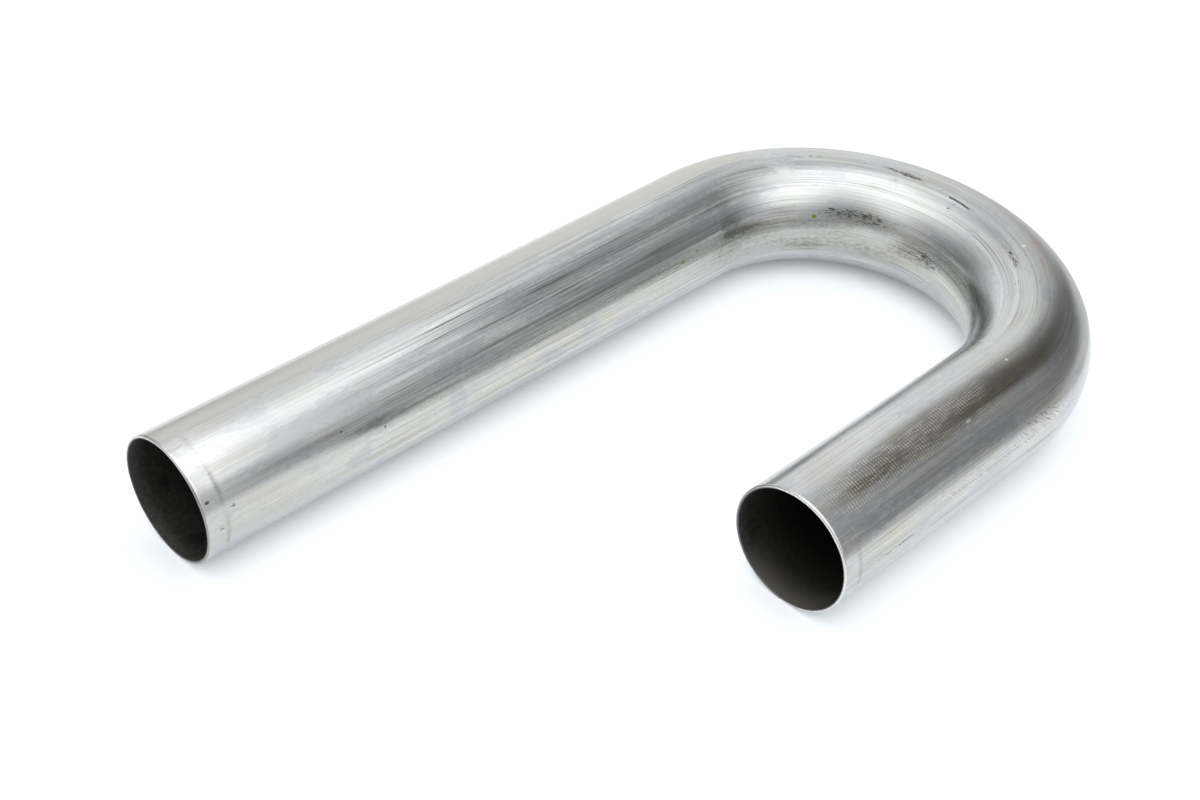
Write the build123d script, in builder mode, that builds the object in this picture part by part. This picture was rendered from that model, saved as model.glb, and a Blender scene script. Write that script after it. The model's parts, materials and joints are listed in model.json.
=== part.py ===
"""Exhaust j-bend: one length of round steel tube bent once, through a half turn.

The tube lies on its side. X runs across the two legs, Y along them and Z up.
The origin is under the middle of the tube's outer box, on the surface it lies on.
All sizes are in millimetres.
"""

from build123d import *
import os

# The tube that the bend is made from
tube_diameter = 63.5  # outside, two and a half inches
wall = 1.65  # sixteen gauge

# The bend and its two legs, measured along the tube's centreline
bend_radius = 101.6  # four inches
bend_angle = 180.0
long_leg = 342.0  # from the bend's tangent line to the mouth
short_leg = 155.0

# The mouths, sawn square and deburred
outer_deburr = 0.45
inner_deburr = 0.25

# The line that the clamping collar leaves round each end
collar_distance = 10.5  # from the mouth to the middle of the line
collar_line_width = 1.2
collar_line_depth = 0.12

# What follows from them
tube_radius = tube_diameter / 2
bore_radius = tube_radius - wall
reach = bend_radius + tube_radius
bend_centre_y = (long_leg - reach) / 2
height = tube_radius

# The centreline: the long leg, the bend and the short leg
long_tangent = (-bend_radius, bend_centre_y, height)
with BuildLine() as centreline:
    long_run = Line((-bend_radius, bend_centre_y - long_leg, height), long_tangent)
    bend_run = JernArc(start=long_tangent, tangent=(0, 1, 0), radius=bend_radius, arc_size=-bend_angle)
    short_run = Line(bend_run @ 1, bend_run @ 1 + (bend_run % 1) * short_leg)

long_mouth = Plane(origin=long_run @ 0, x_dir=(0, 0, 1), z_dir=long_run % 0)
bend_start = Plane(origin=long_run @ 1, x_dir=(0, 0, 1), z_dir=long_run % 1)
bend_end = Plane(origin=short_run @ 0, x_dir=(0, 0, 1), z_dir=short_run % 0)
short_mouth = Plane(origin=short_run @ 1, x_dir=(0, 0, 1), z_dir=-(short_run % 1))
bend_axis = Axis((0, bend_centre_y, height), (0, 0, -1))


def tube_section(plane):
    """The tube's ring-shaped section, drawn on a plane square to the centreline."""
    with BuildSketch(plane) as section:
        Circle(tube_radius)
        Circle(bore_radius, mode=Mode.SUBTRACT)
    return section.sketch


def collar_line(mouth):
    """The profile of the shallow round-bottomed line outside a mouth, to be turned about the leg."""
    near = collar_distance - collar_line_width / 2
    far = collar_distance + collar_line_width / 2
    clear = tube_radius + collar_line_width
    with BuildSketch(Plane(origin=mouth.origin, x_dir=mouth.z_dir, z_dir=mouth.y_dir)) as profile:
        with BuildLine():
            ThreePointArc((near, tube_radius), (collar_distance, tube_radius - collar_line_depth), (far, tube_radius))
            Polyline((far, tube_radius), (far, clear), (near, clear), (near, tube_radius))
        make_face()
    return profile.sketch


with BuildPart() as j_bend_tube:
    # The straight tube of the long leg, the half-turn bend, and the short leg
    extrude(tube_section(long_mouth), amount=long_leg)
    revolve(tube_section(bend_start), axis=bend_axis, revolution_arc=bend_angle)
    extrude(tube_section(bend_end), amount=short_leg)

    for mouth in (long_mouth, short_mouth):
        # The mouth is sawn square, and its edges are broken inside and out
        rim = edges().filter_by(GeomType.CIRCLE).sort_by_distance(mouth.origin)[:2].sort_by(SortBy.RADIUS)
        chamfer(rim[0], length=inner_deburr)
        chamfer(rim[1], length=outer_deburr)
        # The collar's line, turned into the outside
        revolve(collar_line(mouth), axis=Axis(mouth.origin, mouth.z_dir), mode=Mode.SUBTRACT)

j_bend_tube.part.label = "j_bend_tube"

os.makedirs("parts", exist_ok=True)
export_step(j_bend_tube.part, "parts/j_bend_tube.step")
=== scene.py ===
"""Exhaust j-bend: bare steel tube, bent once through a half turn, lying on a white table."""

import json
import math
import bpy
import numpy as np
from mathutils import Matrix, Vector


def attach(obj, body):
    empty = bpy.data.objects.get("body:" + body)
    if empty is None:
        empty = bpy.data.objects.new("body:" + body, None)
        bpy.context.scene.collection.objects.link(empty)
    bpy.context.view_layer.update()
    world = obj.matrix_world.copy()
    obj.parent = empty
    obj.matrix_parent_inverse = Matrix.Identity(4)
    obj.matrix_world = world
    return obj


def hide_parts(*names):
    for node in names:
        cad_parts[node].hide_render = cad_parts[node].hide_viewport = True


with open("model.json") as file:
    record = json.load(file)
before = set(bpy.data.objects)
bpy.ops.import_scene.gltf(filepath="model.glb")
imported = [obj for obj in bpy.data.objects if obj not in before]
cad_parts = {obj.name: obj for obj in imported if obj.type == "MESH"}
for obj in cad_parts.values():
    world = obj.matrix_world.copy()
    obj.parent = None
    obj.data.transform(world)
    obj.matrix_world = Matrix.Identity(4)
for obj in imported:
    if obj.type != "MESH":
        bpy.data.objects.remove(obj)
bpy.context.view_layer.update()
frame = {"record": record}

# The tube.
# One length of welded steel tube, cut square at both ends and drawn round a die over a
# mandrel, so that its section stays round through the half turn between its two legs.
MM = 0.001
mounts = {mount["name"]: mount for mount in frame["record"]["mounts"]}
tube_radius = mounts["long_end_outside"]["dims"]["r_mm"] * MM
bore_radius = mounts["long_end_bore"]["dims"]["r_mm"] * MM
bend_radius = abs(mounts["long_end_bore"]["pos_m"][0])
long_leg = 342 * MM
short_leg = 155 * MM
arc_length = math.pi * bend_radius
tube_length = long_leg + arc_length + short_leg
bend_centre_y = (long_leg - bend_radius - tube_radius) / 2

outer_deburr = 0.45 * MM
inner_deburr = 0.25 * MM
collar_distance = 10.5 * MM
collar_width = 1.2 * MM
collar_depth = 0.12 * MM
saw_ripple = 0.06 * MM
die_ripple = 0.03 * MM  # twice the depth of each of three slow waves round the section
die_edge = 333 * MM  # where the pressure die stopped
die_edge_depth = 0.05 * MM
clamp_edge = 655 * MM  # where the clamp die began
clamp_edge_depth = 0.08 * MM
nick_angle = math.radians(-38)  # a nick in the short mouth's inner edge
nick_depth = 0.4 * MM
columns = 180  # points round the tube


def centreline(along):
    """Points on the centreline at distances along it, and the way out from the bend there."""
    turn = np.clip((along - long_leg) / bend_radius, 0, math.pi)
    before = np.clip(long_leg - along, 0, None)
    after = np.clip(along - long_leg - arc_length, 0, None)
    out = np.stack([-np.cos(turn), np.sin(turn), 0 * turn], -1)
    point = bend_radius * out + np.array([0, bend_centre_y, tube_radius])
    point[..., 1] -= before + after
    return point, out


def place(along, angle, radius):
    """Points at a distance along, an angle from the top towards the inside of the bend, and a radius."""
    point, out = centreline(along)
    up = np.array([0, 0, 1.0])
    sideways = np.cos(angle)[..., None] * up - np.sin(angle)[..., None] * out
    return point + radius[..., None] * sideways


def stations():
    """Distances along the outside from mouth to mouth, closest together at the marks of the tools."""
    one_end = [np.arange(outer_deburr, collar_distance - collar_width, 1.1 * MM),
               np.linspace(collar_distance - collar_width * 0.7, collar_distance + collar_width * 0.7, 13),
               [13 * MM]]
    one_end = np.concatenate(one_end)
    between = [np.arange(16 * MM, long_leg, 4 * MM),
               np.linspace(long_leg, long_leg + arc_length, 157),
               np.arange(long_leg + arc_length + 4 * MM, tube_length - 15 * MM, 4 * MM)]
    between += [edge + np.linspace(-2, 2, 9) * MM for edge in (die_edge, clamp_edge)]
    return np.unique(np.concatenate([one_end, *between, tube_length - one_end]))


def hump(value, middle, half_width):
    """A smooth rise to 1 at the middle, and 0 beyond the half width."""
    near = np.clip(1 - np.abs(value - middle) / half_width, 0, 1)
    return near * near * (3 - 2 * near)


outside = stations()
inside_leg = np.arange(inner_deburr, long_leg, 8 * MM)
inside_bend = np.linspace(long_leg, long_leg + arc_length, 80)
inside_short = np.arange(tube_length - inner_deburr, long_leg + arc_length + 4 * MM, -8 * MM)
inside = np.concatenate([inside_short, inside_bend[::-1], inside_leg[::-1]])
profile = [(s, tube_radius) for s in outside]
profile += [(tube_length, tube_radius - outer_deburr), (tube_length, bore_radius + inner_deburr)]
profile += [(s, bore_radius) for s in inside]
profile += [(0, bore_radius + inner_deburr), (0, tube_radius - outer_deburr)]
profile = np.array(profile)
rows = len(profile)
last_outside = len(outside)
first_inside = last_outside + 2
last_inside = first_inside + len(inside)

angles = np.linspace(0, 2 * math.pi, columns, endpoint=False)
along, angle = np.meshgrid(profile[:, 0], angles, indexing="ij")
radius = np.repeat(profile[:, 1][:, None], columns, 1)
from_mouth = np.minimum(along, tube_length - along)

# The share of the collar line's depth that is left: it's all but worn away towards the top
depth_left = 0.08 + 0.42 * np.clip(1.3 * np.abs(np.sin(angle / 2)) ** 2, 0, 1)
relief = collar_depth * depth_left * hump(from_mouth, collar_distance, collar_width / 2)
# Slow waves round the section from the dies: how many, their phase, and their drift along the tube
for waves, phase, drift in ((7, 0.4, 2.1), (11, 1.9, -3.0), (16, 4.2, 4.5)):
    relief += die_ripple * (0.5 + 0.5 * np.sin(waves * angle + phase + drift * along)) / 2
relief += die_edge_depth * hump(along, die_edge, 1.5 * MM) * hump(angle, math.radians(62), 0.6)
relief += clamp_edge_depth * hump(along, clamp_edge, 2 * MM) * hump(angle, math.radians(30), 0.7)
on_outside = np.arange(rows) < last_outside
radius[on_outside] -= relief[on_outside]

# The saw leaves a slight ripple in both cut faces, and the short one has a nick
at_rim = from_mouth < 0.5 * MM
ripple = saw_ripple * (0.5 + 0.25 * np.sin(9 * angle + 1) + 0.25 * np.sin(23 * angle))
along = np.where(at_rim, along + np.where(along < tube_length / 2, ripple, -ripple), along)
short_rim_edge = (profile[:, 0] == tube_length) & (profile[:, 1] < bore_radius + 0.5 * MM)
wrapped = (angle + math.pi) % (2 * math.pi) - math.pi
radius[short_rim_edge] += nick_depth * hump(wrapped, nick_angle, math.radians(5))[short_rim_edge]
points = place(along, angle, radius)

row, column = np.meshgrid(np.arange(rows), np.arange(columns), indexing="ij")
following, beside = (row + 1) % rows, (column + 1) % columns
faces = np.stack([row * columns + column, row * columns + beside,
                  following * columns + beside, following * columns + column], -1)
finish_of_row = np.ones(rows, int)
finish_of_row[:last_outside - 1] = 0
finish_of_row[first_inside:last_inside - 1] = 2

tube_mesh = bpy.data.meshes.new("bent_tube")
tube_mesh.from_pydata(points.reshape(-1, 3).tolist(), [], faces.reshape(-1, 4).tolist())
tube_mesh.polygons.foreach_set("material_index", np.repeat(finish_of_row, columns))
tube_mesh.polygons.foreach_set("use_smooth", np.ones(rows * columns, bool))

# Every point keeps the place that it had in the straight tube, so that die streaks follow the bend
straight = np.stack([along, radius * np.sin(angle), radius * np.cos(angle)], -1)
as_drawn = tube_mesh.attributes.new("as_drawn", "FLOAT_VECTOR", "POINT")
as_drawn.data.foreach_set("vector", straight.reshape(-1).astype(np.float32))
tube_mesh.validate()
tube = bpy.data.objects.new("bent_tube", tube_mesh)
bpy.context.scene.collection.objects.link(tube)


# The bare steel outside.
# Drawn and welded mild steel with nothing on it: satin, with lengthwise streaks from the dies,
# thin films of oil, and dark scuffs where the bending tools gripped and slid.
class Finish:
    """A material or a world, with short ways to add nodes to its tree and to join them."""

    def __init__(self, owner):
        owner.use_nodes = True
        self.owner = owner
        self.tree = owner.node_tree
        self.shader = self.tree.nodes.get("Principled BSDF")

    def add(self, kind, inputs=None, **settings):
        """Adds one node; each of its inputs is a value or another node's output."""
        node = self.tree.nodes.new("ShaderNode" + kind)
        for name, value in settings.items():
            setattr(node, name, value)
        for name, value in (inputs or {}).items():
            if isinstance(value, bpy.types.NodeSocket):
                self.tree.links.new(value, node.inputs[name])
            else:
                node.inputs[name].default_value = value
        return node

    def set(self, **values):
        """Sets or joins the shader's inputs; an underscore stands for a space in their names."""
        for name, value in values.items():
            socket = self.shader.inputs[name.replace("_", " ")]
            if isinstance(value, bpy.types.NodeSocket):
                self.tree.links.new(value, socket)
            else:
                socket.default_value = value

    def calc(self, operation, first, second=0.0, third=0.0):
        """The output of one sum, product or the like."""
        return self.add("Math", {0: first, 1: second, 2: third}, operation=operation).outputs[0]

    def total(self, values):
        """The sum of several outputs."""
        result = values[0]
        for value in values[1:]:
            result = self.calc("ADD", result, value)
        return result

    def rise(self, value, start, end, top=1.0):
        """0 before the start, the top value past the end, and smooth between them."""
        low, high, at_low, at_high = (start, end, 0.0, top) if start < end else (end, start, top, 0.0)
        ends = {"Value": value, "From Min": low, "From Max": high, "To Min": at_low, "To Max": at_high}
        return self.add("MapRange", ends, interpolation_type="SMOOTHSTEP").outputs[0]

    def blend(self, share, first, second, way="MIX"):
        """The first colour, with a share of the second one laid over it."""
        inputs = {"Factor": share, 6: first, 7: second}
        return self.add("Mix", inputs, data_type="RGBA", blend_type=way).outputs[2]

    def unroll(self):
        """Finds the place in the straight tube, and the same place rolled out flat, in mm."""
        self.drawn = self.add("Attribute", attribute_name="as_drawn").outputs["Vector"]
        part = self.add("SeparateXYZ", {0: self.drawn}).outputs
        self.along = self.calc("MULTIPLY", part[0], 1 / MM)
        self.turn = self.calc("DEGREES", self.calc("ARCTAN2", part[1], part[2]))
        round_it = self.calc("MULTIPLY", self.turn, mm_per_degree)
        self.flat = self.add("CombineXYZ", {0: self.along, 1: round_it}).outputs[0]
        from_far_end = self.calc("SUBTRACT", tube_length / MM, self.along)
        self.to_mouth = self.calc("MINIMUM", self.along, from_far_end)

    def drag(self, length, pitch, detail=2.0):
        """Noise about 0 in streaks along the tube, of a length along it and a pitch round it in mm."""
        scale = (1 / (length * MM), 1 / (pitch * MM), 1 / (pitch * MM))
        where = self.add("VectorMath", {0: self.drawn, 1: scale}, operation="MULTIPLY").outputs[0]
        noise = self.add("TexNoise", {"Vector": where, "Scale": 1.0, "Detail": detail}).outputs[0]
        return self.calc("SUBTRACT", noise, 0.5)

    def patch(self, along, turn, half_along, half_turn, tilt=0.0, weight=1.0, soft=0.6):
        """An oval patch of the skin that fades out over the soft share of its half sizes."""
        place = self.flat
        if tilt:
            about = {"Center": (along, turn * mm_per_degree, 0), "Angle": math.radians(-tilt)}
            place = self.add("VectorRotate", {0: place, **about}, rotation_type="Z_AXIS").outputs[0]
        shrink = (1 / half_along, 1 / (half_turn * mm_per_degree), 0)
        shift = (-along / half_along, -turn / half_turn, 0)
        within = {0: place, 1: shrink, 2: shift}
        within = self.add("VectorMath", within, operation="MULTIPLY_ADD").outputs[0]
        distance = self.add("VectorMath", {0: within}, operation="LENGTH").outputs["Value"]
        return self.rise(distance, 1.0, 1.0 - soft, weight)

    def patches(self, listed):
        """The sum of several patches, each added before the next one is made."""
        result = self.patch(*listed[0])
        for one in listed[1:]:
            result = self.calc("ADD", result, self.patch(*one))
        return result

    def zone(self, along_from, along_to, turn_from, turn_to, fade_along, fade_turn):
        """A stretch of the tube between two distances and two angles, with soft edges."""
        edges = [self.rise(self.along, along_from - fade_along, along_from + fade_along),
                 self.rise(self.along, along_to + fade_along, along_to - fade_along),
                 self.rise(self.turn, turn_from - fade_turn, turn_from + fade_turn),
                 self.rise(self.turn, turn_to + fade_turn, turn_to - fade_turn)]
        both = self.calc("MULTIPLY", edges[0], edges[1])
        both = self.calc("MULTIPLY", both, edges[2])
        return self.calc("MULTIPLY", both, edges[3])


mm_per_degree = tube_radius / MM * math.radians(1)  # round the outside of the tube
steel = Finish(bpy.data.materials.new("drawn_steel"))
steel.unroll()

# Zones and patches below are placed by mm from the long mouth and degrees from the top. Angles are
# positive towards the inside of the bend. The bend runs from 342 to 661, and the short mouth is at 816.
# Die streaks at three sizes, strongest where the pressure die dragged along the long leg
fine_streaks = steel.drag(80, 0.8, 3.0)
middle_streaks = steel.drag(150, 2.4)
broad_streaks = steel.drag(300, 7.0)
dragged = steel.zone(110, 372, 12, 66, 70, 5)
top_lines = steel.zone(150, 392, -3, 6, 60, 1.5)
bend_lines = steel.zone(405, 640, -2, 46, 12, 9)
inner_lines = steel.zone(110, 600, 58, 150, 60, 8)
side_lines = steel.zone(650, 830, -112, -34, 20, 5)
wiped_top = steel.zone(-20, 392, -60, -4, 8, 3)
fresh_band = steel.patch(395, 12, 9, 26, -16, 1.0, 0.2)
inner_side = steel.zone(-20, 640, 68, 105, 20, 6)
fleck_share = steel.calc("MULTIPLY_ADD", inner_side, 0.5, 1.0)
fleck_share = steel.calc("MULTIPLY_ADD", wiped_top, -0.6, fleck_share)
flecks = steel.calc("MULTIPLY", steel.drag(4.5, 1.5, 4.0), fleck_share)
cloud = steel.calc("MULTIPLY_ADD", flecks, 0.35, steel.drag(34, 14, 2.0))
cloud = steel.calc("MULTIPLY", cloud, steel.calc("MULTIPLY_ADD", wiped_top, -0.8, 1.0))
end_zone = steel.rise(steel.along, 11.0, 10.0)
smooth_end = steel.patch(52, 26, 75, 36, 0, 1.0, 0.8)
streaking = [(dragged, 0.9), (top_lines, 0.8), (bend_lines, 0.31), (inner_lines, 0.38),
             (side_lines, 0.26)]
streaking = steel.total([steel.calc("MULTIPLY", *one) for one in streaking])
streaking = steel.calc("ADD", streaking, 0.3)
for calm, share in ((wiped_top, 0.75), (fresh_band, 0.9), (end_zone, 0.6), (smooth_end, 0.5)):
    keep = steel.calc("MULTIPLY_ADD", calm, -share, 1.0)
    streaking = steel.calc("MULTIPLY", streaking, keep)
streaking = steel.calc("MULTIPLY", streaking, steel.calc("MULTIPLY_ADD", cloud, 3.0, 1.0))

thin_lines = steel.rise(fine_streaks, -0.10, -0.17)
streak_sum = [(fine_streaks, 1.5), (middle_streaks, 0.8), (broad_streaks, 0.4), (thin_lines, -0.13)]
streak_sum = steel.total([steel.calc("MULTIPLY", *one) for one in streak_sum])
tone = steel.calc("MULTIPLY_ADD", steel.calc("MULTIPLY", streak_sum, streaking), 0.95, 1.0)
tone = steel.calc("MULTIPLY_ADD", flecks, 0.16, tone)

# Films of oil and wiped patches, cream where they are thick and bluish where they are thin
clean_steel = (0.545, 0.568, 0.572, 1)
cream_film = (0.54, 0.532, 0.482, 1)
blue_film = (0.455, 0.48, 0.495, 1)
cream_share = steel.total([steel.calc("MULTIPLY", steel.zone(-20, 380, -40, -2, 8, 5), 0.75),
                           steel.calc("MULTIPLY", inner_side, 0.7),
                           steel.calc("MULTIPLY", steel.zone(690, 803, -86, -62, 20, 2), 0.6),
                           steel.rise(cloud, 0.01, 0.06, 0.4)])
cream_share = steel.calc("MULTIPLY", cream_share, steel.calc("MULTIPLY_ADD", dragged, -0.7, 1.0))
rubbed_bright = steel.patches([(105, 88, 75, 24, 0, 0.8, 0.6), (8, 5, 34, 80, 0, 0.8, 0.8),
                               (775, 16, 60, 22, 0, 0.6, 0.8), (670, 36, 40, 9, 0, 0.8, 0.8),
                               (394, 10, 6, 20, -16, 0.6, 0.3)])
colour = steel.blend(rubbed_bright, clean_steel, (0.66, 0.67, 0.67, 1))
colour = steel.blend(cream_share, colour, cream_film)
blotches = steel.patches([(83, 92, 10, 9, 0, 1.0, 0.5), (143, 90, 8, 22, 0, 1.0, 0.5),
                          (205, 96, 15, 11, 20, 0.9, 0.6), (232, 88, 10, 15, -20, 0.8, 0.6),
                          (262, 100, 18, 10, 0, 0.9, 0.6)])
blotches = steel.rise(steel.calc("MULTIPLY_ADD", flecks, 1.6, blotches), 0.3, 0.7, 0.7)
bluish = steel.calc("MULTIPLY_ADD", inner_side, 0.06, cloud)
blotches = steel.calc("MAXIMUM", blotches, steel.rise(bluish, -0.05, -0.12, 0.5))
colour = steel.blend(blotches, colour, blue_film)

# Brown scale and slight scorching where the tube slid on the die, worst at the end of the bend
tool_brown = (0.41, 0.35, 0.28, 1)
brown = steel.patches([(668, -20, 66, 14, 0, 0.95, 0.75), (738, -25, 80, 12, 0, 0.7, 0.75),
                       (735, -9, 72, 14, 0, 0.6, 0.8), (605, -20, 55, 13, 9, 0.42, 0.9),
                       (665, -6, 55, 10, 0, 0.4, 0.8), (776, -17, 30, 13, 0, 0.5, 0.8),
                       (792, -22, 24, 10, 0, 0.4, 0.8)])
unevenness = steel.total([steel.calc("MULTIPLY", middle_streaks, 0.8), steel.calc("MULTIPLY", flecks, 1.2)])
brown = steel.calc("MULTIPLY", brown, steel.calc("ADD", unevenness, 1.0))
colour = steel.blend(brown, colour, tool_brown, "MULTIPLY")

# Soft olive smudges and bluish patches of painted shade: middle along and round, half sizes, tilt, weight,
# softness
smudges = steel.patches([(355, 69, 28, 9, 3, 0.8, 1.0), (341, 63, 10, 15, 0, 0.4, 0.6),
                         (350, 88, 50, 26, 0, 0.5, 0.8), (595, 68, 50, 10, 4, 0.9, 0.8),
                         (500, 84, 34, 15, 0, 0.5, 0.8), (55, 59, 50, 4, 0, 0.5, 0.8),
                         (450, 64, 45, 13, 0, 0.45, 0.8), (430, 97, 90, 20, 0, 0.6, 0.8),
                         (600, 66, 40, 12, 0, 0.4, 0.8), (270, 58, 90, 9, 0, 0.35, 0.8)])
smudges = steel.calc("ADD", smudges, steel.calc("MULTIPLY", steel.zone(334, 353, 52, 71, 0.8, 5), 0.35))
unevenness = [(middle_streaks, 2.5), (fine_streaks, 1.5), (flecks, 1.6), (cloud, 2.0)]
unevenness = steel.total([steel.calc("MULTIPLY", *one) for one in unevenness])
smudges = steel.calc("MULTIPLY", smudges, steel.calc("ADD", unevenness, 0.95))
colour = steel.blend(smudges, colour, (0.465, 0.475, 0.43, 1), "MULTIPLY")
# painted shade: bluish grey darkening on the top of the long leg and the bend, standing in for a dark
# reflection
painted_shade_patches = steel.patches([(215, 26, 100, 13, 0, 0.6, 0.8), (215, 36, 85, 5, 0, 0.45, 0.8),
                        (250, 12, 120, 6, 0, 0.4, 0.8), (345, 3, 60, 7, 0, 0.55, 0.8),
                        (545, 16, 45, 9, 0, 0.5, 0.8)])
painted_shade_patches = steel.calc("MULTIPLY", painted_shade_patches, steel.calc("MULTIPLY_ADD", middle_streaks, 2.0, 1.0))
colour = steel.blend(painted_shade_patches, colour, (0.48, 0.495, 0.51, 1), "MULTIPLY")

# The clamp die's serrations, rows of short ticks across the short leg
comb_pitch = 1.75
comb_zone = steel.zone(688, 806, -36, -4, 8, 2)
comb_zone = steel.calc("SUBTRACT", comb_zone, steel.patch(700, -23.5, 45, 4.5, 0, 0.8, 0.5))
comb_phase = steel.calc("MULTIPLY", steel.along, 2 * math.pi / comb_pitch)
comb_phase = steel.calc("MULTIPLY_ADD", steel.drag(12, 5), 3.0, comb_phase)
comb = steel.rise(steel.calc("SINE", comb_phase), -0.5, 0.7)
comb_gate = steel.rise(steel.drag(7, 0.8, 2.0), -0.08, 0.1)
comb = steel.calc("MULTIPLY", steel.calc("MULTIPLY", comb, comb_gate), comb_zone)
colour = steel.blend(steel.calc("MULTIPLY", comb, 0.55), colour, (0.62, 0.60, 0.56, 1))

# The collar left a thin brown line, clearest on the inner side of the long end
collar_offset = steel.calc("SUBTRACT", steel.to_mouth, collar_distance / MM)
collar_offset = steel.calc("MULTIPLY_ADD", flecks, 1.5, collar_offset)
collar_stain = steel.rise(steel.calc("ABSOLUTE", collar_offset), 2.2, 0.0)
stained = steel.patches([(10, 49, 6, 26, 0, 0.5, 0.9), (10, 10, 6, 22, 0, 0.2, 0.8),
                         (10, 95, 6, 30, 0, 0.3, 0.8), (805, -80, 6, 30, 0, 0.35, 0.8)])
unevenness = steel.total([steel.calc("MULTIPLY", middle_streaks, 1.5), steel.calc("MULTIPLY", flecks, 2.0)])
stained = steel.calc("MULTIPLY", stained, steel.calc("ADD", unevenness, 1.0))
collar_stain = steel.calc("MULTIPLY", collar_stain, stained)
colour = steel.blend(collar_stain, colour, (0.36, 0.34, 0.27, 1), "MULTIPLY")

tone_colour = steel.add("CombineXYZ", {0: tone, 1: tone, 2: tone}).outputs[0]
colour = steel.blend(1.0, colour, tone_colour, "MULTIPLY")

# Black galling in broken dashes: middle along and round, half sizes, tilt, weight, softness
galling = steel.patches([
    (450, 65, 48, 12, 0, 0.31, 0.7), (428, 61, 4, 1.6, 8, 0.5, 0.6), (445, 62, 14, 4, 6, 0.12, 0.6),
    (470, 5, 17, 4, 5, 0.40, 0.6), (508, 12.5, 12, 1.8, 2, 0.65, 0.6), (506, 22, 1.3, 8, 14, 0.4, 0.5),
    (513, 81, 18, 9, 0, 0.32, 0.6), (565, 17, 18, 4, 0, 0.38, 0.6), (592, 22, 34, 9, 0, 0.26, 0.7),
    (355, 74, 24, 8, 0, 0.22, 0.7), (76, 60, 0.8, 1.3, 0, 0.9, 0.5), (99, 75, 0.7, 1.2, 0, 0.9, 0.5),
    (3.5, 60, 1.8, 2.2, 0, 0.75, 0.6), (775, -87, 26, 1.8, 0, 0.46, 0.6), (412, 1, 18, 4, 0, 0.34, 0.6),
    (378, 1, 12, 3, 0, 0.28, 0.6), (6, 86, 4, 6, 0, 0.34, 0.6), (182, 64, 14, 3, 0, 0.28, 0.7),
    (14, 72, 3, 3, 0, 0.4, 0.6), (30, 88, 30, 14, 0, 0.16, 0.8), (525, 4, 130, 15, 0, 0.19, 0.4),
    (480, 76, 120, 22, 0, 0.14, 0.4), (735, -68, 40, 8, 0, 0.22, 0.7), (690, -42, 90, 14, 0, 0.16, 0.5),
    (780, 22, 34, 16, 0, 0.17, 0.6)])
galling = steel.calc("MULTIPLY_ADD", steel.drag(4, 0.5, 4.0), 1.7, galling)
galling = steel.rise(galling, 0.44, 0.58, 0.9)
colour = steel.blend(galling, colour, (0.07, 0.068, 0.062, 1))

# Fine scratches across the bend's end, bright nicks, and specks of paint
slanted = {"Vector": steel.flat, "Rotation": (0, 0, math.radians(42)), "Scale": (7, 0.7, 1)}
hatch_where = steel.add("Mapping", slanted, vector_type="TEXTURE").outputs[0]
hatch_noise = steel.add("TexNoise", {"Vector": hatch_where, "Scale": 1.0, "Detail": 2.0}).outputs[0]
hatch_zone = steel.patches([(664, -70, 34, 17, 0, 0.4, 0.8), (715, -76, 60, 10, 0, 0.22, 0.6)])
hatches = steel.rise(steel.calc("ADD", hatch_noise, hatch_zone), 0.82, 0.98, 0.8)
colour = steel.blend(hatches, colour, (0.26, 0.245, 0.235, 1))
rubbed = steel.rise(steel.calc("SUBTRACT", hatch_zone, hatch_noise), -0.26, -0.14)
colour = steel.blend(steel.calc("MULTIPLY", rubbed, 0.6), colour, (0.66, 0.65, 0.62, 1))
nicks = steel.patches([(558, 0, 1.0, 3.5, 0, 1.0, 0.5), (656, 26, 1.5, 15, 6, 0.3, 0.9),
                       (664, -5, 1.2, 2.0, 0, 0.9, 0.5), (712, -30, 2.0, 1.4, 0, 0.8, 0.5)])
colour = steel.blend(nicks, colour, (0.9, 0.9, 0.9, 1))
lime = steel.patches([(302, 72, 1.9, 2.2, 0, 0.9, 0.5), (313, 68, 1.5, 1.6, 30, 0.8, 0.5),
                      (415, 69.5, 2.6, 2.2, 0, 1.0, 0.4), (466, 18, 1.8, 1.8, 0, 0.6, 0.6),
                      (399, 58, 1.4, 2, 0, 0.35, 0.6)])
colour = steel.blend(lime, colour, (0.30, 0.32, 0.02, 1))
pink = steel.patches([(539, -25, 2.0, 4.0, 20, 0.6, 0.6), (555, -16, 3.0, 9.0, -20, 0.5, 0.6),
                      (573, -9, 7.0, 2.5, 0, 0.6, 0.6)])
colour = steel.blend(pink, colour, (0.62, 0.36, 0.34, 1))

roughness = [(middle_streaks, 0.12), (cream_share, 0.04), (galling, 0.3), (brown, 0.08), (comb, 0.1),
             (fresh_band, 0.06), (flecks, 0.15)]
roughness = steel.total([steel.calc("MULTIPLY", *one) for one in roughness])
roughness = steel.calc("ADD", roughness, 0.22)

# Relief in mm
height = [(fine_streaks, 0.02), (middle_streaks, 0.05), (broad_streaks, 0.12)]
height = steel.total([steel.calc("MULTIPLY", *one) for one in height])
height = steel.calc("MULTIPLY", height, streaking)
marks = [(comb, 0.03), (hatches, -0.02), (galling, -0.02), (flecks, 0.012)]
height = steel.total([height] + [steel.calc("MULTIPLY", *one) for one in marks])
raised = steel.add("Bump", {"Height": height, "Strength": 1.0, "Distance": MM}).outputs[0]
steel.set(Base_Color=colour, Metallic=1.0, Roughness=roughness, Normal=raised)

# The mouths.
# Both ends are sawn square and the edges broken with a deburring tool, which leaves a
# narrow ring of bright fresh metal with the saw's fine teeth marks across it.
cut_metal = Finish(bpy.data.materials.new("cut_metal"))
cut_metal.unroll()
tooth_marks = cut_metal.add("TexNoise", {"Vector": cut_metal.flat, "Scale": 2.0, "Detail": 3.0}).outputs[0]
bright_teeth = cut_metal.rise(tooth_marks, 0.38, 0.62)
cut_colour = cut_metal.blend(bright_teeth, (0.60, 0.58, 0.57, 1), (0.85, 0.84, 0.84, 1))
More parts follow.
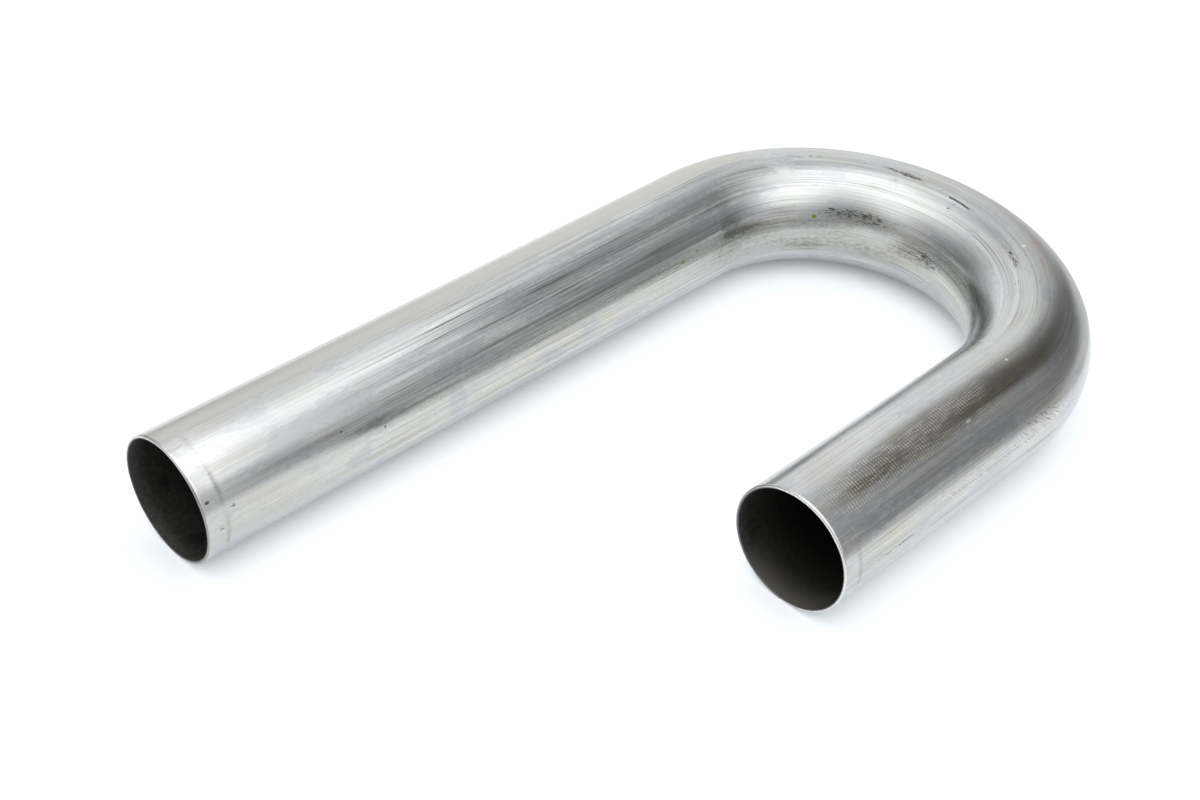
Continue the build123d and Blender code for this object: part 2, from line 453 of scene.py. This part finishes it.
# Painted shade: the inner half of the wall is painted dark, apart from the top of the short end,
# and the side towards the inside of the bend is painted darker too
across_tube = {0: cut_metal.drawn, 1: (0, 1 / MM, 1 / MM)}
across_tube = cut_metal.add("VectorMath", across_tube, operation="MULTIPLY").outputs[0]
from_axis = cut_metal.add("VectorMath", {0: across_tube}, operation="LENGTH").outputs["Value"]
from_axis = cut_metal.calc("MULTIPLY_ADD", cut_metal.zone(700, 830, -48, 16, 5, 14), 0.7, from_axis)
rim_painted_shade_edge = cut_metal.rise(from_axis, 30.95, 30.6)
cut_colour = cut_metal.blend(rim_painted_shade_edge, cut_colour, (0.11, 0.09, 0.09, 1))
# painted shade on the side of the cut faces towards the inside of the bend
rim_painted_shade_side = cut_metal.rise(cut_metal.turn, 22, 50, 0.65)
cut_colour = cut_metal.blend(rim_painted_shade_side, cut_colour, (0.15, 0.14, 0.14, 1))
tooth_relief = {"Height": tooth_marks, "Strength": 0.35, "Distance": 0.1 * MM}
cut_raised = cut_metal.add("Bump", tooth_relief).outputs[0]
cut_metal.set(Base_Color=cut_colour, Metallic=1.0, Roughness=0.32, Normal=cut_raised)

# The bore.
# The inside of the same steel. It was never cleaned after the tube was made and bent, so it keeps
# a dull dark brown scale, with soot in patches near the mouths. Painted light makes the underside
# just inside the short mouth lighter, and painted shade makes the scale darker deeper inside.
scale = Finish(bpy.data.materials.new("bore_scale"))
scale.unroll()
mottle = scale.drag(2.5, 2.0, 4.0)
# One patch of soot crosses the underside, where the angle jumps from 180 to -180, so it stands twice
soot = scale.patches([(12.5, 178, 7, 12, 0, 0.9, 0.8), (12.5, -182, 7, 12, 0, 0.9, 0.8),
                      (14, -121, 4, 12, 0, 0.8, 0.8), (1.2, -165, 1.4, 3, 0, 0.8, 0.6)])
soot = scale.rise(scale.calc("MULTIPLY_ADD", mottle, 2.6, soot), 0.4, 0.6)
mottled = scale.rise(mottle, -0.14, 0.16)
scale_colour = scale.blend(mottled, (0.015, 0.0145, 0.0125, 1), (0.036, 0.034, 0.0285, 1))
# Painted light: the underside just inside the short mouth is painted lighter, where light gets in
height_in_bore = scale.add("SeparateXYZ", {0: scale.drawn}).outputs[2]
underside = scale.rise(height_in_bore, -0.014, -0.030, 0.75)
painted_light_near_short_mouth = scale.calc("MULTIPLY", underside, scale.rise(scale.along, 796, 812))
scale_colour = scale.blend(painted_light_near_short_mouth, scale_colour, (0.10, 0.096, 0.082, 1))
# Painted shade: the scale is painted darker deeper inside, away from the mouths
painted_shade_deep_inside = scale.rise(scale.to_mouth, 6, 46)
scale_colour = scale.blend(painted_shade_deep_inside, scale_colour, (0.007, 0.0067, 0.0056, 1))
scale_colour = scale.blend(soot, scale_colour, (0.006, 0.006, 0.006, 1))
scale_relief = {"Height": mottle, "Strength": 0.5, "Distance": 0.1 * MM}
scale_raised = scale.add("Bump", scale_relief).outputs[0]
scale_rough = scale.calc("MULTIPLY_ADD", mottle, 0.3, 0.57)
scale.set(Base_Color=scale_colour, Metallic=0.0, Roughness=scale_rough, Normal=scale_raised)

for finish in (steel, cut_metal, scale):
    tube_mesh.materials.append(finish.owner)
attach(tube, "root")
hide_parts("j_bend_tube")

# The table.
# A plain matt white table top that fills the view. Rays that look at it see it lifted to white
# where nothing stands close, so that it keeps the tube's shadow.
floor_mesh = bpy.data.meshes.new("table_top")
reach = 12.0
corners = [(-reach, -reach, 0), (reach, -reach, 0), (reach, reach, 0), (-reach, reach, 0)]
floor_mesh.from_pydata(corners, [], [(0, 1, 2, 3)])
floor = bpy.data.objects.new("table_top", floor_mesh)
bpy.context.scene.collection.objects.link(floor)
table_white = Finish(bpy.data.materials.new("table_white"))
table_white.tree.nodes.remove(table_white.shader)


def looked_at(finish):
    """1 for rays from the camera, from metal and from glass, and 0 for the light that falls on things."""
    path = finish.add("LightPath").outputs
    seen = finish.calc("MAXIMUM", path["Is Camera Ray"], path["Is Glossy Ray"])
    return finish.calc("MAXIMUM", seen, path["Is Transmission Ray"])


shadow_reach = 18 * MM
openness = table_white.add("AmbientOcclusion", {"Distance": shadow_reach}, samples=4).outputs["AO"]
lift_share = table_white.rise(openness, -0.2, 0.6, 0.52)
lift_level = table_white.calc("MULTIPLY", looked_at(table_white), lift_share)
matt = table_white.add("BsdfDiffuse", {"Color": (0.70, 0.695, 0.69, 1)}).outputs[0]
cool_white = {"Color": (0.92, 1.0, 1.08, 1), "Strength": lift_level}
lift = table_white.add("Emission", cool_white).outputs[0]
both = table_white.add("AddShader", {0: matt, 1: lift}).outputs[0]
table_white.tree.links.new(both, table_white.tree.nodes["Material Output"].inputs["Surface"])
floor_mesh.materials.append(table_white.owner)

# The light.
# One large soft box overhead, a white room, and a grey room wall with brighter and darker
# parts that only the metal sees.
white_room = Finish(bpy.data.worlds.new("white_room"))
bpy.context.scene.world = white_room.owner
# The room shows as white, and lights things at 0.6 of white
room_level = white_room.add("MapRange", {"Value": looked_at(white_room), "To Min": 0.6, "To Max": 1.0})
backdrop = white_room.tree.nodes["Background"].inputs
backdrop["Color"].default_value = (1, 1, 1, 1)
white_room.tree.links.new(room_level.outputs[0], backdrop["Strength"])

# Parts of the wall, in degrees: azimuth and elevation of the middle, half width, half height,
# softness, then brightness and tilt. A scratch program fitted these rows, and the grey below,
# to the reflections in the photo. They were then rounded, and the brightness scaled.
wall_parts = [
    (2, 83, 200, 21, 4.5, 1.82, -3),
    (-197, 72, 78, 42, 7.5, 1.74, 23),
    (88, 46, 31, 13.5, 9, 2.17, 5),
    (3, 25, 32, 28, 18, 0.02, 1),
    (42, 10, 33, 35, 33, 0.28, 9),
    (-135, 11, 33, 36, 28, 0.49, -17),
    (-102, 1, 55, 26, 25, 0.14, 38),
    (150, -12, 64, 52, 35, 0.47, -43),
    (-50, 22, 29, 37, 21, 1.06, 57),
]
wall_grey = 1.33
wall_radius = 2.5


def smooth(value):
    """0 below 0, 1 above 1, and smooth between them."""
    value = np.clip(value, 0, 1)
    return value * value * (3 - 2 * value)


wall_step = 2  # degrees from one point of the wall to the next
azimuth, elevation = np.meshgrid(np.radians(np.arange(0, 360, wall_step)),
                                 np.radians(np.arange(0, 91, wall_step)))
brightness = np.full(azimuth.shape, wall_grey)
for part_azimuth, part_elevation, half_width, half_height, soft, level, tilt in wall_parts:
    aside = (np.degrees(azimuth) - part_azimuth + 180) % 360 - 180
    above = np.degrees(elevation) - part_elevation
    across = aside * math.cos(math.radians(tilt)) + above * math.sin(math.radians(tilt))
    up_it = above * math.cos(math.radians(tilt)) - aside * math.sin(math.radians(tilt))
    share = smooth((half_width + soft - np.abs(across)) / (2 * soft))
    share = share * smooth((half_height + soft - np.abs(up_it)) / (2 * soft))
    brightness += (level - brightness) * share
toward = np.stack([np.cos(elevation) * np.sin(azimuth), np.cos(elevation) * np.cos(azimuth),
                   np.sin(elevation)], -1)
wall_points = wall_radius * toward
# Its lowest ring lies on the table, nearest behind the bend, where the metal sees the table end
behind = smooth(1 - np.abs((np.degrees(azimuth[:1]) + 170) % 360 - 180) / 110)
table_edge = 0.6 - 0.32 * behind
edge_level = brightness[:1] + (0.78 - brightness[:1]) * behind
first_ring = wall_points[:1] / wall_radius * table_edge[..., None]
first_ring[..., 2] = 2 * MM
wall_points = np.concatenate([first_ring, wall_points])
brightness = np.concatenate([edge_level, brightness])
spokes = wall_points.shape[1]
ring, spoke = np.meshgrid(np.arange(len(wall_points) - 1), np.arange(spokes), indexing="ij")
next_spoke = (spoke + 1) % spokes
wall_faces = np.stack([ring * spokes + spoke, ring * spokes + next_spoke,
                       (ring + 1) * spokes + next_spoke, (ring + 1) * spokes + spoke], -1)
wall_mesh = bpy.data.meshes.new("room_wall")
wall_mesh.from_pydata(wall_points.reshape(-1, 3).tolist(), [], wall_faces.reshape(-1, 4).tolist())
glow = wall_mesh.attributes.new("glow", "FLOAT", "POINT")
glow.data.foreach_set("value", brightness.reshape(-1).astype(np.float32))
wall = bpy.data.objects.new("room_wall", wall_mesh)
bpy.context.scene.collection.objects.link(wall)
for kind_of_ray in ("camera", "diffuse", "shadow", "transmission"):
    setattr(wall, "visible_" + kind_of_ray, False)
room_grey = Finish(bpy.data.materials.new("room_grey"))
room_grey.tree.nodes.remove(room_grey.shader)
wall_light = room_grey.add("Attribute", attribute_name="glow").outputs["Fac"]
wall_glow = room_grey.add("Emission", {"Color": (1, 1, 1, 1), "Strength": wall_light}).outputs[0]
room_grey.tree.links.new(wall_glow, room_grey.tree.nodes["Material Output"].inputs["Surface"])
wall_mesh.materials.append(room_grey.owner)

soft_box_size = 1.6
soft_box_radiance = 0.97
soft_box = bpy.data.lights.new("overhead_soft_box", "AREA")
soft_box.shape = "SQUARE"
soft_box.size = soft_box_size
soft_box.energy = soft_box_radiance * math.pi * soft_box_size ** 2
soft_box_holder = bpy.data.objects.new("overhead_soft_box", soft_box)
bpy.context.scene.collection.objects.link(soft_box_holder)
soft_box_holder.location = (-0.03, -0.05, 1.05)
soft_box_holder.rotation_euler = (-soft_box_holder.location).to_track_quat("-Z", "Y").to_euler()
soft_box_holder.visible_glossy = False

# The camera.
# It stands before the mouths, to the right, and looks down on the tube from where the
# photographer stood, which was found by fitting the tube's outline.
camera_azimuth, camera_elevation, camera_roll = (math.radians(a) for a in (42.07, 39.37, 4.87))
camera_distance = 0.8396
aim = Vector((-0.0268, -0.0415, tube_radius))
back = Vector((math.sin(camera_azimuth) * math.cos(camera_elevation),
               -math.cos(camera_azimuth) * math.cos(camera_elevation), math.sin(camera_elevation)))
right = Vector((math.cos(camera_azimuth), math.sin(camera_azimuth), 0))
up = back.cross(right)
across = right * math.cos(camera_roll) + up * math.sin(camera_roll)
upward = up * math.cos(camera_roll) - right * math.sin(camera_roll)
camera_data = bpy.data.cameras.new("camera")
camera_data.sensor_width = 36
camera_data.lens = 52.0
camera_data.clip_start = 0.05
camera = bpy.data.objects.new("camera", camera_data)
bpy.context.scene.collection.objects.link(camera)
turned = Matrix((across, upward, back)).transposed().to_4x4()
camera.matrix_world = Matrix.Translation(aim + back * camera_distance) @ turned
bpy.context.scene.camera = camera
bpy.context.scene.view_settings.view_transform = "Standard"
